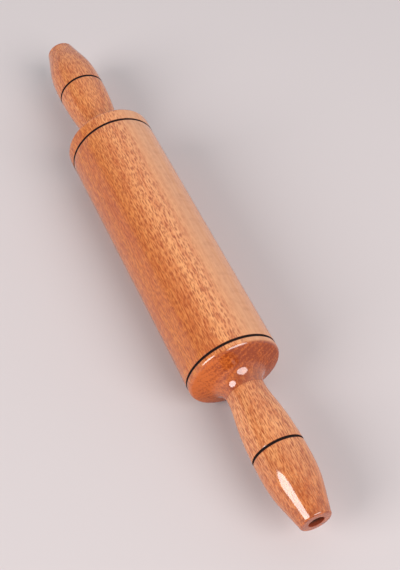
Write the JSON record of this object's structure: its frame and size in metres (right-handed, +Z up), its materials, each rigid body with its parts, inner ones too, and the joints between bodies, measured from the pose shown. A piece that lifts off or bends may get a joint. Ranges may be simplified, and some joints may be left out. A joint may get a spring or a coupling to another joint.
{
  "type": "rolling pin",
  "caption": "Wooden rolling pin whose turned barrel spins on a steel rod between two turned handles, with dark burnt rings.",
  "frame": {"origin": "on the surface that the barrel rests on, straight below the middle of the pin", "axes": "+X along the pin towards the handle with the short barrel end, +Z up, +Y across"},
  "size_m": [0.41, 0.0598, 0.0599],
  "materials": {
    "beech": "turned beech, stained warm and varnished glossy",
    "steel": "bright drawn rod and zinc-plated washers",
    "dark_steel": "blackened socket screw",
    "acetal": "natural machined acetal"
  },
  "bodies": {
    "rod_and_handles": {"axle": "steel", "handle_left": "beech", "thrust_washer_left": "steel", "flat_washer_left": "steel", "spring_washer_left": "steel", "handle_screw_left": "dark_steel", "handle_right": "beech", "thrust_washer_right": "steel", "flat_washer_right": "steel", "spring_washer_right": "steel", "handle_screw_right": "dark_steel"},
    "barrel": {"barrel": "beech", "bush_left": "acetal", "bush_right": "acetal"}
  },
  "joints": [
    {"name": "barrel_spin", "type": "hinge", "parent": "rod_and_handles", "child": "barrel", "pos_m": [0, 0, 0.02994], "axis": [1, 0, 0], "continuous": true}
  ]
}
